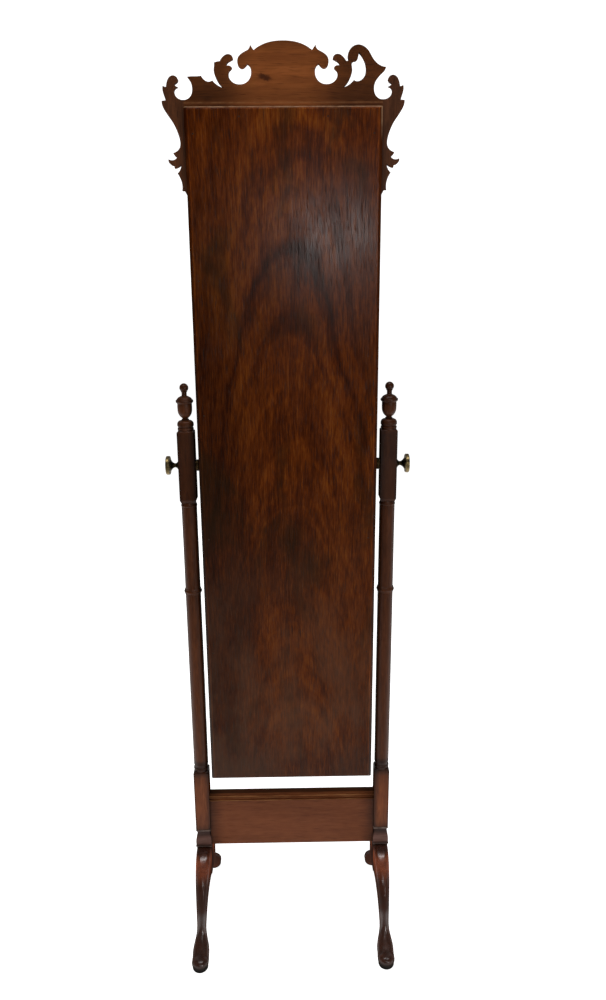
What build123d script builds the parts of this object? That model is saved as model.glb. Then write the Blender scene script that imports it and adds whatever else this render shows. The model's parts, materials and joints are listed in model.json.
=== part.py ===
from build123d import *
import math
import os

# Cheval floor mirror. Millimetres, +Z up, origin on the floor midway between the four feet.
# The looking glass faces -Y, so "left" is -X and "right" is +X for a person looking into it.

os.makedirs("parts", exist_ok=True)

# ---- driving dimensions ----------------------------------------------------------------
POST_SPACING = 382.0        # post axis to post axis
STOCK = 31.0                # square stock of the posts
PIVOT_Z = 1024.0            # height of the tilting axis
BLOCK_FOOT_Z = 184.0        # underside of the neck moulding, top of the legs
POST_FOOT_Z = 226.5         # joint between neck moulding and post
BLOCK_TOP_Z = 367.0         # top of the post's lower square block
HEAD_BOTTOM_Z = 952.0       # underside of the square block the pivot goes through
HEAD_TOP_Z = 1091.0
CAP_TOP_Z = 1111.0          # top of the turned cap, seat of the finial
FINIAL_TOP_Z = 1179.0
RING_Z = 770.0              # astragal on the column

RAIL_BOTTOM_Z = 186.0
RAIL_TOP_Z = 293.0
RAIL_THICK = 20.0
RAIL_CAP = 14.5
TENON_LONG = 12.0
TENON_LOW_Z = 244.0
TENON_HIGH_Z = 290.0
NECK_TENON_TOP_Z = 240.0    # round tenon of the neck block, up inside the post

MIRROR_WIDTH = 336.0
MIRROR_TOP_Z = 1643.0
MIRROR_BOTTOM_Z = 351.0
FRAME_FRONT_Y = -15.0
FRAME_BACK_Y = 8.0
FRAME_FACE = 28.0           # width of the frame members, outer edge to sight edge
REBATE = 7.0                # step the glass sits in
GLASS_THICK = 4.0
GLASS_FRONT_Y = -8.0
BOARD_THICK = 8.0
BOARD_BEVEL = 5.0           # width of the sloping edge on the backboard
FRET_THICK = 9.0            # crest and ears
CREST_LAP = 12.0            # how far the crest runs down behind the top member
EAR_LAP = 10.0
EAR_DROP = 141.0            # length of the ears down the sides

FOOT_Y = 149.0              # centre of each pad foot from the post axis
PAD_R = 17.3
HUB_BOTTOM_Z = 112.0

SCREW_R = 4.0               # thumb-screw shank
SCREW_RUN = 0.05            # running clearance of the thread, modelled plain
POST_RUN = 0.3              # clearance of the shank in the post
GLUE = 0.05                 # clearance round dowels, pins and screws

HALF = STOCK / 2
POST_X = POST_SPACING / 2
POST_INNER_X = POST_X - HALF
MIRROR_X = MIRROR_WIDTH / 2
BOARD_BACK_Y = FRAME_BACK_Y + BOARD_THICK
FRET_FRONT_Y = FRAME_BACK_Y - FRET_THICK

PARTS = {}


# ---- helpers ---------------------------------------------------------------------------
def curves(runs):
    """Edges for a list of runs: two points a line, three an arc, more a smooth curve."""
    edges = []
    for run in runs:
        if len(run) == 2:
            edges.append(Line(*run))
        elif len(run) == 3:
            edges.append(ThreePointArc(*run))
        else:
            edges.append(Spline(*run))
    return edges


def outline(runs):
    """Closed drawing, facing up out of its plane whichever way round it is drawn."""
    face = Face(Wire(curves(runs)))
    return -face if face.normal_at().Z < 0 else face


def upright(y):
    """Drawing plane facing the front at depth y: local x is X, local y is Z."""
    return Plane(origin=(0, y, 0), x_dir=(1, 0, 0), z_dir=(0, -1, 0))


def side_plane(x):
    """Drawing plane facing +X: local x is Y, local y is Z."""
    return Plane(origin=(x, 0, 0), x_dir=(0, 1, 0), z_dir=(1, 0, 0))


def box(x0, x1, y0, y1, z0, z1):
    return Pos((x0 + x1) / 2, (y0 + y1) / 2, (z0 + z1) / 2) * Box(x1 - x0, y1 - y0, z1 - z0)


def turned(runs):
    """Lathe work: the runs give radius and height, closed along the axis."""
    first = runs[0][0]
    last = runs[-1][-1]
    close = [[last, (0, last[1])], [(0, last[1]), (0, first[1])]]
    if first[0] > 0:
        close.append([(0, first[1]), first])
    return revolve(upright(0) * outline(runs + close), Axis.Z)


def dome(radius, edge, top):
    """Run from (radius, edge) up to the axis, level where it gets there."""
    rise = top - edge
    ball = (radius ** 2 + rise ** 2) / (2 * rise)
    return [(radius, edge), (radius / 2, top - ball + math.sqrt(ball ** 2 - radius ** 2 / 4)), (0, top)]


def squared(runs):
    """Moulding run round all four sides of a square block; runs give half width and height."""
    first = runs[0][0]
    last = runs[-1][-1]
    other = [[(-x, z) for x, z in reversed(run)] for run in reversed(runs)]
    face = outline(runs + [[last, (-last[0], last[1])]] + other + [[(-first[0], first[1]), first]])
    along_y = extrude(upright(0) * face, amount=2 * STOCK, both=True)
    along_x = extrude(side_plane(0) * face, amount=2 * STOCK, both=True)
    return along_y & along_x


def flip(shape):
    """Right-hand piece to left-hand piece."""
    return mirror(shape, about=Plane.YZ)


def rod(radius, start, end):
    a = Vector(*start)
    b = Vector(*end)
    return Plane(origin=a, z_dir=b - a) * Cylinder(radius, (b - a).length, align=(Align.CENTER,) * 2 + (Align.MIN,))


def wood_screw(start, inward, length, radius, head, grow=0.0, slot=True):
    """Countersunk screw; start is the centre of the head's face, inward its direction."""
    r = radius + grow
    h = head + grow
    sink = head - radius
    runs = [
        [(h, 0), (r, sink)],
        [(r, sink), (r, length - 2 * radius + grow)],
        [(r, length - 2 * radius + grow), (0.2, length + grow)],
    ]
    shape = turned(runs)
    if slot:
        shape -= Box(3 * head, head * 0.3, head * 0.5)
    return Plane(origin=start, z_dir=inward) * shape


def keep(name, shape):
    PARTS[name] = shape


# ---- stand -----------------------------------------------------------------------------
def post():
    """Right post, drawn on its own axis: two square blocks, a turned column and a cap."""
    lower = squared([
        [(HALF, POST_FOOT_Z), (HALF, BLOCK_TOP_Z - 5)],
        [(HALF, BLOCK_TOP_Z - 5), (HALF - 1.0, BLOCK_TOP_Z - 1.6), (HALF - 4, BLOCK_TOP_Z)],
    ])
    head = squared([
        [(HALF - 2.5, HEAD_BOTTOM_Z), (HALF, HEAD_BOTTOM_Z + 6)],
        [(HALF, HEAD_BOTTOM_Z + 6), (HALF, HEAD_TOP_Z - 4)],
        [(HALF, HEAD_TOP_Z - 4), (HALF - 0.8, HEAD_TOP_Z - 1.2), (HALF - 3, HEAD_TOP_Z)],
    ])
    z0 = BLOCK_TOP_Z - 2
    column = turned([
        [(14.9, z0), (14.9, z0 + 2.6)],
        [(14.9, z0 + 2.6), (15.5, z0 + 5.6), (15.1, z0 + 8.6)],
        [(15.1, z0 + 8.6), (14.2, z0 + 9.2)],
        [(14.2, z0 + 9.2), (14.1, z0 + 12.5), (15.0, z0 + 16)],
        [(15.0, z0 + 16), (14.9, z0 + 17)],
        [(14.9, z0 + 17), (15.1, z0 + 90), (15.3, z0 + 200), (15.2, RING_Z - 60), (15.1, RING_Z - 6)],
        [(15.1, RING_Z - 6), (16.0, RING_Z - 5)],
        [(16.0, RING_Z - 5), (16.0, RING_Z - 3.4)],
        [(16.0, RING_Z - 3.4), (17.6, RING_Z), (16.0, RING_Z + 3.4)],
        [(16.0, RING_Z + 3.4), (16.0, RING_Z + 5)],
        [(16.0, RING_Z + 5), (15.0, RING_Z + 6)],
        [(15.0, RING_Z + 6), (14.9, RING_Z + 90), (14.8, HEAD_BOTTOM_Z - 20), (14.8, HEAD_BOTTOM_Z - 8)],
        [(14.8, HEAD_BOTTOM_Z - 8), (15.6, HEAD_BOTTOM_Z - 6), (14.8, HEAD_BOTTOM_Z - 4)],
        [(14.8, HEAD_BOTTOM_Z - 4), (13.6, HEAD_BOTTOM_Z + 1)],
    ])
    z1 = HEAD_TOP_Z - 1
    cap = turned([
        [(14.6, z1), (14.6, z1 + 2.4)],
        [(14.6, z1 + 2.4), (15.2, z1 + 4.4), (14.6, z1 + 6.4)],
        [(14.6, z1 + 6.4), (13.8, z1 + 6.9)],
        [(13.8, z1 + 6.9), (13.8, z1 + 8.0)],
        [(13.8, z1 + 8.0), (15.1, z1 + 9.6), (15.4, z1 + 12.4)],
        [(15.4, z1 + 12.4), (14.4, z1 + 16.8), (9.0, CAP_TOP_Z - 0.8)],
        [(9.0, CAP_TOP_Z - 0.8), (6.0, CAP_TOP_Z)],
    ])
    shape = lower + column + head + cap
    shape -= rod(SCREW_R + POST_RUN, (-STOCK, 0, PIVOT_Z), (STOCK, 0, PIVOT_Z))
    shape -= rod(4.0 + GLUE, (0, 0, CAP_TOP_Z - 22), (0, 0, CAP_TOP_Z + 1))
    shape -= rod(7.0 + GLUE, (0, 0, POST_FOOT_Z - 1), (0, 0, NECK_TENON_TOP_Z + 1))
    low = TENON_LOW_Z - GLUE
    high = TENON_HIGH_Z + GLUE
    return shape - box(-HALF - 1, -HALF + TENON_LONG + 0.5, -4 - GLUE, 4 + GLUE, low, high)


def finial():
    """Urn with a lipped cover and a ball knop, on a spigot let into the cap."""
    z = CAP_TOP_Z
    runs = [
        [(3.6, z - 20), (4.0, z - 18)],
        [(4.0, z - 18), (4.0, z)],
        [(4.0, z), (6.4, z)],
        [(6.4, z), (7.0, z + 0.9), (6.0, z + 1.8)],
        [(6.0, z + 1.8), (5.3, z + 2.8), (6.0, z + 3.8)],
        [(6.0, z + 3.8), (9.4, z + 7.0), (12.4, z + 12.4), (13.5, z + 19.0)],
        [(13.5, z + 19.0), (13.7, z + 25.0), (13.5, z + 30.4)],
        [(13.5, z + 30.4), (14.2, z + 31.8)],
        [(14.2, z + 31.8), (16.0, z + 33.4), (16.3, z + 35.4)],
        [(16.3, z + 35.4), (16.0, z + 36.8), (14.6, z + 37.6)],
        [(14.6, z + 37.6), (11.9, z + 41.4), (8.4, z + 43.6), (5.0, z + 45.0)],
        [(5.0, z + 45.0), (4.7, z + 48.4), (5.0, z + 52.2)],
        [(5.0, z + 52.2), (6.0, z + 52.8), (5.5, z + 53.5)],
        dome(5.5, z + 53.5, FINIAL_TOP_Z),
    ]
    close = [[(0, FINIAL_TOP_Z), (0, z - 20)], [(0, z - 20), (3.6, z - 20)]]
    return revolve(upright(0) * outline(runs + close), Axis.Z)


def foot_block():
    """Moulded neck under a post, with the plain hub the two legs are dowelled to."""
    top = POST_FOOT_Z
    low = BLOCK_FOOT_Z
    shape = squared([
        [(HALF - 2.0, HUB_BOTTOM_Z), (HALF - 0.2, HUB_BOTTOM_Z + 2)],
        [(HALF - 0.2, HUB_BOTTOM_Z + 2), (HALF - 0.2, low - 1)],
        [(HALF - 0.2, low - 1), (HALF - 0.2, low)],
        [(HALF - 0.2, low), (HALF + 0.4, low)],
        [(HALF + 0.4, low), (HALF + 1.7, low + 1.9), (HALF + 0.6, low + 3.8)],
        [(HALF + 0.6, low + 3.8), (HALF + 0.6, low + 4.6)],
        [(HALF + 0.6, low + 4.6), (HALF + 0.9, low + 13.0), (HALF + 0.2, low + 21.0),
         (HALF - 1.8, low + 29.0), (HALF - 2.4, low + 34.0), (HALF - 1.4, low + 37.4)],
        [(HALF - 1.4, low + 37.4), (HALF - 0.6, low + 37.8)],
        [(HALF - 0.6, low + 37.8), (HALF + 0.3, low + 39.8), (HALF - 0.6, low + 41.8)],
        [(HALF - 0.6, low + 41.8), (HALF - 1.4, low + 42.0)],
        [(HALF - 1.4, low + 42.0), (HALF - 1.4, top)],
    ])
    shape -= box(-2 * HALF, -HALF, -RAIL_THICK / 2, RAIL_THICK / 2, RAIL_BOTTOM_Z, top)
    shape += rod(7.0, (0, 0, top - 1), (0, 0, NECK_TENON_TOP_Z))
    for side in (-1, 1):
        for z in (132, 160):
            shape -= rod(4 + GLUE, (0, side * 2.4, z), (0, side * (HALF + 1), z))
    return shape


def leg():
    """Cabriole leg of the +Y side, drawn on the post axis: knee, ankle and pad foot."""
    # distance out, height, heading below level, width, depth and corner radius of each section
    stations = [
        (HALF - 0.2, 148.5, 0, 30.6, 69.0, 5.0),
        (27.0, 148.5, 6, 31.4, 66.0, 9.0),
        (46.0, 141.0, 22, 30.2, 56.0, 12.5),
        (67.0, 124.0, 42, 27.0, 43.0, 12.6),
        (85.0, 100.0, 58, 23.2, 31.5, 11.0),
        (98.0, 75.0, 65, 20.4, 23.6, 9.9),
        (109.0, 51.5, 62, 20.6, 21.6, 9.9),
        (119.0, 34.5, 54, 28.8, 25.0, 12.2),
        (130.0, 22.6, 38, 34.0, 25.4, 12.4),
        (143.0, 14.7, 12, 34.6, 21.4, 10.4),
    ]
    sections = []
    for out, z, drop, width, depth, radius in stations:
        a = math.radians(drop)
        plane = Plane(origin=(0, out, z), x_dir=(1, 0, 0), z_dir=(0, math.cos(a), -math.sin(a)))
        sections.append(plane * RectangleRounded(width, depth, radius))
    shape = loft(sections)
    pad = turned([
        [(13.6, 0), (14.2, 0.7)],
        [(14.2, 0.7), (15.9, 3.0), (15.9, 5.8)],
        [(15.9, 5.8), (15.2, 6.8)],
        [(15.2, 6.8), (16.4, 9.4), (PAD_R, 13.6), (16.6, 18.4), (13.0, 23.0), (7.0, 25.6)],
    ])
    shape += Pos(0, FOOT_Y, 0) * pad
    for z in (132, 160):
        shape -= rod(4 + GLUE, (0, HALF - 1, z), (0, HALF + 15.4, z))
    return shape


def apron_rail():
    """Board between the posts, tenoned into their lower blocks."""
    half = RAIL_THICK / 2
    shape = box(-POST_INNER_X, POST_INNER_X, -half, half, RAIL_BOTTOM_Z, RAIL_TOP_Z)
    for side in (-1, 1):
        x0, x1 = sorted((side * (POST_INNER_X - 1), side * (POST_INNER_X + TENON_LONG)))
        shape += box(x0, x1, -4, 4, TENON_LOW_Z, TENON_HIGH_Z)
    return shape


def rail_moulding():
    """Cap strip with a rounded top and two beads under it, glued along the apron rail."""
    z = RAIL_TOP_Z
    h = RAIL_CAP
    right = [
        [(10.6, z), (11.2, z + 0.5)],
        [(11.2, z + 0.5), (12.4, z + 1.7), (11.2, z + 2.9)],
        [(11.2, z + 2.9), (10.9, z + 3.3)],
        [(10.9, z + 3.3), (10.9, z + 6.4)],
        [(10.9, z + 6.4), (11.2, z + 6.8)],
        [(11.2, z + 6.8), (12.4, z + 8.0), (11.2, z + 9.2)],
        [(11.2, z + 9.2), (11.9, z + 9.7)],
        [(11.9, z + 9.7), (12.9, z + 11.8), (11.6, z + 13.9)],
        [(11.6, z + 13.9), (10.2, z + h)],
    ]
    left = [[(-y, q) for y, q in reversed(run)] for run in reversed(right)]
    face = outline(right + [[(10.2, z + h), (-10.2, z + h)]] + left + [[(-10.6, z), (10.6, z)]])
    return extrude(side_plane(-POST_INNER_X) * face, amount=2 * POST_INNER_X)


def leg_dowels():
    dowels = []
    for x in (-POST_X, POST_X):
        for side in (-1, 1):
            for z in (132, 160):
                dowels.append(rod(4, (x, side * 2.6, z), (x, side * (HALF + 15), z)))
    return dowels


# ---- mirror ----------------------------------------------------------------------------
def lap_cutters():
    """Rebates in the back of the frame that take the laps of the crest and the ears."""
    top = MIRROR_TOP_Z
    crest = box(-MIRROR_X + EAR_LAP, MIRROR_X - EAR_LAP, FRET_FRONT_Y, FRAME_BACK_Y + 1, top - CREST_LAP, top + 1)
    ear = box(MIRROR_X - EAR_LAP, MIRROR_X + 1, FRET_FRONT_Y, FRAME_BACK_Y + 1, top - EAR_DROP, top + 1)
    return [crest, ear, flip(ear)]


def frame_section():
    """Moulding of the frame: first number is the distance in from the outer edge."""
    deep = FRAME_FACE - REBATE
    return [
        [(0, FRAME_BACK_Y), (deep, FRAME_BACK_Y)],
        [(deep, FRAME_BACK_Y), (deep, GLASS_FRONT_Y)],
        [(deep, GLASS_FRONT_Y), (FRAME_FACE, GLASS_FRONT_Y)],
        [(FRAME_FACE, GLASS_FRONT_Y), (FRAME_FACE, GLASS_FRONT_Y - 1.6)],
        [(FRAME_FACE, GLASS_FRONT_Y - 1.6), (25.6, -10.9), (22.4, -13.6)],
        [(22.4, -13.6), (21.0, -13.6)],
        [(21.0, -13.6), (20.0, FRAME_FRONT_Y)],
        [(20.0, FRAME_FRONT_Y), (6.0, FRAME_FRONT_Y)],
        [(6.0, FRAME_FRONT_Y), (5.2, -13.8)],
        [(5.2, -13.8), (1.6, -12.6), (0, -9.0)],
        [(0, -9.0), (0, FRAME_BACK_Y)],
    ]


def frame_member(upright_member):
    """Right stile or top rail, mitred at both ends, before its fittings are let in."""
    top = MIRROR_TOP_Z
    low = MIRROR_BOTTOM_Z
    reach = FRAME_FACE
    if upright_member:
        face = outline([[(MIRROR_X - a, y) for a, y in run] for run in frame_section()])
        bar = extrude(Plane.XY.offset(low) * face, amount=top - low)
        mitre = [(MIRROR_X, low), (MIRROR_X, top), (MIRROR_X - reach, top - reach), (MIRROR_X - reach, low + reach)]
    else:
        face = outline([[(y, top - a) for a, y in run] for run in frame_section()])
        bar = extrude(side_plane(-MIRROR_X) * face, amount=MIRROR_WIDTH)
        mitre = [(-MIRROR_X, top), (MIRROR_X, top), (MIRROR_X - reach, top - reach), (reach - MIRROR_X, top - reach)]
    prism = extrude(upright(40) * make_face(Polyline(*mitre, close=True)), amount=80)
    return bar & prism


def crest_outline():
    """Pediment in plan, height above the frame's top edge; the right rim is given."""
    rim = [
        [(48.5, 85.9), (51.1, 89.2), (54.5, 94.3)],
        [(54.5, 94.3), (56.6, 88.1), (60.6, 85.1)],
        [(60.6, 85.1), (69.1, 80.7), (75, 74.6), (76.2, 67.9), (73.7, 61.6), (68.8, 59.1), (63.9, 61.1), (59.8, 65.5)],
        [(59.8, 65.5), (55.8, 62.5), (53.5, 54.6), (54.5, 46.3), (60.7, 38), (73.8, 34.3), (86.3, 38.8),
         (91.3, 47.9), (90.5, 54.1), (87.8, 56.8)],
        [(87.8, 56.8), (85.3, 59.6)],
        [(85.3, 59.6), (89.3, 62.6), (94, 62.4)],
        [(94, 62.4), (94, 65.6), (89.3, 69.9), (83.2, 73.1)],
        [(83.2, 73.1), (85.1, 77.6), (91.3, 80), (98.4, 77.4), (105, 70.1)],
        [(105, 70.1), (107.7, 69.3), (109.7, 71.3)],
        [(109.7, 71.3), (108.5, 79.6), (112.7, 87.8), (119.4, 92.6), (126, 93.8), (135.3, 91.2),
         (142.9, 84.9), (149.7, 74.3), (157.4, 66), (165.8, 61.4), (172.7, 60.2)],
        [(172.7, 60.2), (170.9, 56.2), (166, 51.7), (160, 45.5), (155.4, 38.7), (152.9, 28.5),
         (155, 18.4), (160.4, 12.9), (MIRROR_X, 11.0)],
        [(MIRROR_X, 11.0), (MIRROR_X, 0)],
        [(MIRROR_X, 0), (MIRROR_X - EAR_LAP, 0)],
        [(MIRROR_X - EAR_LAP, 0), (MIRROR_X - EAR_LAP, -CREST_LAP)],
    ]
    dome = [[(-48.5, 85.9), (-26.7, 96.8), (0, 100.1), (26.7, 96.8), (48.5, 85.9)]]
    base = [[(MIRROR_X - EAR_LAP, -CREST_LAP), (EAR_LAP - MIRROR_X, -CREST_LAP)]]
    left = [[(-x, h) for x, h in reversed(run)] for run in reversed(rim)]
    return dome + rim + base + left


def crest_piercing():
    """Comma-shaped hole behind each leaf, running down into a narrow tail."""
    return [
        [(100, 28.7), (108.2, 36.9), (113.5, 46.4), (115.8, 57), (115.2, 66.6), (118.2, 69.7)],
        [(118.2, 69.7), (122, 70.4), (125, 73.6), (126.1, 78.2), (127.5, 82)],
        [(127.5, 82), (133.3, 75), (138.3, 63.8), (138.8, 53.2), (135.2, 44.3), (126.1, 38.6), (118.8, 40.5)],
        [(118.8, 40.5), (108.3, 32), (100, 28.7)],
    ]


def broken_horn():
    """What has snapped off the right horn along the grain; the left one is whole."""
    stump = [
        (104.7, 69.5), (109.4, 69), (114, 67.8), (116.3, 65.3), (126.7, 54.6), (136.2, 47.5), (144.5, 46.8),
        (153.4, 46.8), (163.9, 45.9), (178.2, 45.9), (178.2, 104.9), (106.5, 104.9), (106.5, 74),
    ]
    return extrude(upright(20) * Pos(0, MIRROR_TOP_Z) * make_face(Polyline(*stump, close=True)), amount=40)


def crest():
    plane = upright(FRAME_BACK_Y) * Pos(0, MIRROR_TOP_Z)
    shape = extrude(plane * outline(crest_outline()), amount=FRET_THICK)
    hole = extrude(upright(20) * Pos(0, MIRROR_TOP_Z) * outline(crest_piercing()), amount=40)
    return shape - hole - flip(hole) - broken_horn()


def ear():
    """Right ear: leafy bracket hung on the side of the frame, lapped into its back."""
    x = MIRROR_X
    runs = [
        [(x, 11.0), (180, 15.6), (183.8, 23.7)],
        [(183.8, 23.7), (181.8, 28.5), (177, 30.6)],
        [(177, 30.6), (180.8, 32.6), (182.5, 35.8)],
        [(182.5, 35.8), (178.7, 37.8), (176.2, 41.6)],
        [(176.2, 41.6), (178.6, 46), (184.4, 48.3), (191.2, 45.2), (194.8, 39), (196.6, 31)],
        [(196.6, 31), (199.5, 31.4), (201.8, 33.3)],
        [(201.8, 33.3), (202.7, 26.4), (200.7, 18), (198.4, 10.3)],
        [(198.4, 10.3), (205, 9.7)],
        [(205, 9.7), (204.8, 5), (201.4, -3.9), (194.3, -14.5), (186.8, -25.6), (180.2, -40.1),
         (176.9, -52.6), (178.1, -63.5), (182.2, -68.2), (189.5, -71.6)],
        [(189.5, -71.6), (187.2, -75.7), (183.4, -78.3)],
        [(183.4, -78.3), (186.9, -81.9), (193.6, -82.9), (198, -81.3)],
        [(198, -81.3), (197.3, -86.9), (193.3, -90.4), (188.6, -91.6)],
        [(188.6, -91.6), (188.3, -95.8)],
        [(188.3, -95.8), (182.4, -94.2), (176.4, -90.1)],
        [(176.4, -90.1), (178.5, -97.6), (183.7, -104.3)],
        [(183.7, -104.3), (179, -112.6), (176.4, -122.4), (176.9, -132)],
        [(176.9, -132), (172.8, -132)],
        [(172.8, -132), (x, -EAR_DROP)],
        [(x, -EAR_DROP), (x - EAR_LAP, -EAR_DROP)],
        [(x - EAR_LAP, -EAR_DROP), (x - EAR_LAP, 0)],
        [(x - EAR_LAP, 0), (x, 0)],
        [(x, 0), (x, 11.0)],
    ]
    plane = upright(FRAME_BACK_Y) * Pos(0, MIRROR_TOP_Z)
    return extrude(plane * outline(runs), amount=FRET_THICK)


def backboard():
    """Full-size back panel; the outer edge slopes away all round."""
    middle = (MIRROR_TOP_Z + MIRROR_BOTTOM_Z) / 2
    height = MIRROR_TOP_Z - MIRROR_BOTTOM_Z
    slope = 3.0
    plane = Plane(origin=(0, FRAME_BACK_Y, middle), x_dir=(-1, 0, 0), z_dir=(0, 1, 0))
    face = RectangleRounded(MIRROR_WIDTH, height, 2.5)
    shape = extrude(plane * face, amount=BOARD_THICK - slope)
    lift = plane.offset(BOARD_THICK - slope) * face
    raised = plane.offset(BOARD_THICK) * RectangleRounded(
        MIRROR_WIDTH - 2 * BOARD_BEVEL, height - 2 * BOARD_BEVEL, 1.0)
    return shape + loft([lift, raised])


def looking_glass():
    """Plate with a narrow bevel on its front face."""
    middle = (MIRROR_TOP_Z + MIRROR_BOTTOM_Z) / 2
    wide = MIRROR_WIDTH - 2 * (FRAME_FACE - REBATE + 1)
    high = MIRROR_TOP_Z - MIRROR_BOTTOM_Z - 2 * (FRAME_FACE - REBATE + 1)
    back = upright(GLASS_FRONT_Y + GLASS_THICK) * Pos(0, middle)
    shape = extrude(back * Rectangle(wide, high), amount=GLASS_THICK - 1.2)
    edge = upright(GLASS_FRONT_Y + 1.2) * Pos(0, middle) * Rectangle(wide, high)
    face = upright(GLASS_FRONT_Y) * Pos(0, middle) * Rectangle(wide - 40, high - 40)
    return shape + loft([edge, face])


def glass_blocks():
    """Softwood corner blocks that hold the glass against its rebate."""
    wall = MIRROR_X - (FRAME_FACE - REBATE)
    y = GLASS_FRONT_Y + GLASS_THICK
    size = 9.0
    long = 42.0
    blocks = []
    triangle = [(wall, y), (wall - size, y), (wall, y + size)]
    for z in (430, 660, 890, 1120, 1350, 1570):
        face = make_face(Polyline(*triangle, close=True))
        block = extrude(Plane.XY.offset(z - long / 2) * face, amount=long)
        blocks.append(block)
        blocks.append(flip(block))
    inset = FRAME_FACE - REBATE
    for edge, inward in ((MIRROR_TOP_Z - inset, -1), (MIRROR_BOTTOM_Z + inset, 1)):
        for x in (-70, 70):
            face = make_face(Polyline((y, edge), (y, edge + inward * size), (y + size, edge), close=True))
            blocks.append(extrude(side_plane(x - long / 2) * face, amount=long))
    return blocks


def pin_places():
    """Panel pins round the backboard, clear of the crest and ear laps."""
    side = MIRROR_X - 14
    places = []
    for z in (395, 640, 880, 1120, 1360, 1600):
        places += [(-side, z), (side, z)]
    for x in (-75, 75):
        places += [(x, MIRROR_TOP_Z - 16.5), (x, MIRROR_BOTTOM_Z + 14)]
    return places


def panel_pin(x, z, grow=0.0):
    start = (x, BOARD_BACK_Y, z)
    head = rod(1.3 + grow, start, (x, BOARD_BACK_Y - 1.0 - grow, z))
    return head + rod(0.7 + grow, start, (x, BOARD_BACK_Y - 17 - grow, z))


def fret_screws(grow=0.0, slot=True):
    """Small screws through the laps of the crest and the ears into the frame."""
    places = [(x, MIRROR_TOP_Z - 6) for x in (-110, 0, 110)]
    for side in (-1, 1):
        for drop in (34, 112):
            places.append((side * (MIRROR_X - 5), MIRROR_TOP_Z - drop))
    start_y = FRAME_BACK_Y
    return [wood_screw((x, start_y, z), (0, -1, 0), 15, 1.3, 2.5, grow, slot) for x, z in places]


def pivot_plate():
    """Right fitting: plate let into the stile, with the round boss the screw runs in."""
    sunk = 2.5
    plane = side_plane(MIRROR_X - sunk) * Pos(0, PIVOT_Z)
    plate = extrude(plane * Pos(-0.5, 0) * SlotOverall(46, 14, rotation=90), amount=sunk)
    reach = POST_INNER_X - 0.3
    boss = Plane(origin=(MIRROR_X, 0, PIVOT_Z), z_dir=(1, 0, 0)) * turned([
        [(9.8, 0), (10.2, 0.8)],
        [(10.2, 0.8), (11.1, 2.4), (10.8, 4.0)],
        [(10.8, 4.0), (10.8, 6.2)],
        [(10.8, 6.2), (10.2, reach - MIRROR_X)],
    ])
    shape = plate + boss
    shape -= rod(SCREW_R + SCREW_RUN, (MIRROR_X - 10, 0, PIVOT_Z), (POST_X, 0, PIVOT_Z))
    for dz in (-16, 16):
        shape -= wood_screw((MIRROR_X, -0.5, PIVOT_Z + dz), (-1, 0, 0), 14, 1.6, 3.2, GLUE, False)
    return shape


def plate_seat():
    """Recess, screw holes and shank hole cut in the right stile."""
    plane = side_plane(MIRROR_X - 2.5) * Pos(0, PIVOT_Z)
    seat = extrude(plane * Pos(-0.5, 0) * SlotOverall(46 + 2 * GLUE, 14 + 2 * GLUE, rotation=90), amount=4)
    seat += rod(SCREW_R + 0.6, (MIRROR_X - 16.5, 0, PIVOT_Z), (MIRROR_X, 0, PIVOT_Z))
    for dz in (-16, 16):
        seat += wood_screw((MIRROR_X, -0.5, PIVOT_Z + dz), (-1, 0, 0), 14, 1.6, 3.2, GLUE, False)
    return seat


def plate_screws():
    screws = []
    for side in (-1, 1):
        for dz in (-16, 16):
            start = (side * MIRROR_X, -0.5, PIVOT_Z + dz)
            screws.append(wood_screw(start, (-side, 0, 0), 14, 1.6, 3.2))
    return screws


def thumb_screw():
    """Right brass thumb-screw: disc, waisted neck and a long shank through the post."""
    shank_in = POST_X + HALF - (MIRROR_X - 15)
    lift = 0.3
    runs = [
        [(3.2, -shank_in), (SCREW_R, 1.2 - shank_in)],
        [(SCREW_R, 1.2 - shank_in), (SCREW_R, lift)],
        [(SCREW_R, lift), (7.8, lift)],
        [(7.8, lift), (8.6, 1.2), (8.0, 2.3)],
        [(8.0, 2.3), (5.8, 3.8), (4.4, 5.6), (4.1, 7.4)],
        [(4.1, 7.4), (4.9, 10.2), (7.6, 13.2), (11.6, 16.0)],
        [(11.6, 16.0), (12.2, 16.9)],
        [(12.2, 16.9), (16.9, 17.0)],
        [(16.9, 17.0), (17.8, 18.0)],
        [(17.8, 18.0), (18.0, 20.6), (17.8, 23.2)],
        [(17.8, 23.2), (16.9, 24.1)],
        [(16.9, 24.1), (15.4, 24.2)],
        [(15.4, 24.2), (13.9, 23.5), (12.4, 24.0)],
        dome(12.4, 24.0, 25.0),
        [(0, 25.0), (0, -shank_in)],
        [(0, -shank_in), (3.2, -shank_in)],
    ]
    shape = revolve(upright(0) * outline(runs), Axis.Z)
    place = Plane(origin=(POST_X + HALF, 0, PIVOT_Z), x_dir=(0, 0, -1), z_dir=(1, 0, 0))
    return place * shape


# ---- build -----------------------------------------------------------------------------
def build_stand():
    right = Pos(POST_X, 0, 0) * post()
    keep("right_post", right)
    keep("left_post", flip(right))
    knob = Pos(POST_X, 0, 0) * finial()
    keep("right_finial", knob)
    keep("left_finial", flip(knob))
    block = Pos(POST_X, 0, 0) * foot_block()
    keep("right_foot_block", block)
    keep("left_foot_block", flip(block))
    back = Pos(POST_X, 0, 0) * leg()
    front = mirror(back, about=Plane.XZ)
    keep("back_right_leg", back)
    keep("back_left_leg", flip(back))
    keep("front_right_leg", front)
    keep("front_left_leg", flip(front))
    keep("leg_dowels", leg_dowels())
    keep("apron_rail", apron_rail())
    keep("rail_moulding", rail_moulding())


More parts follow.
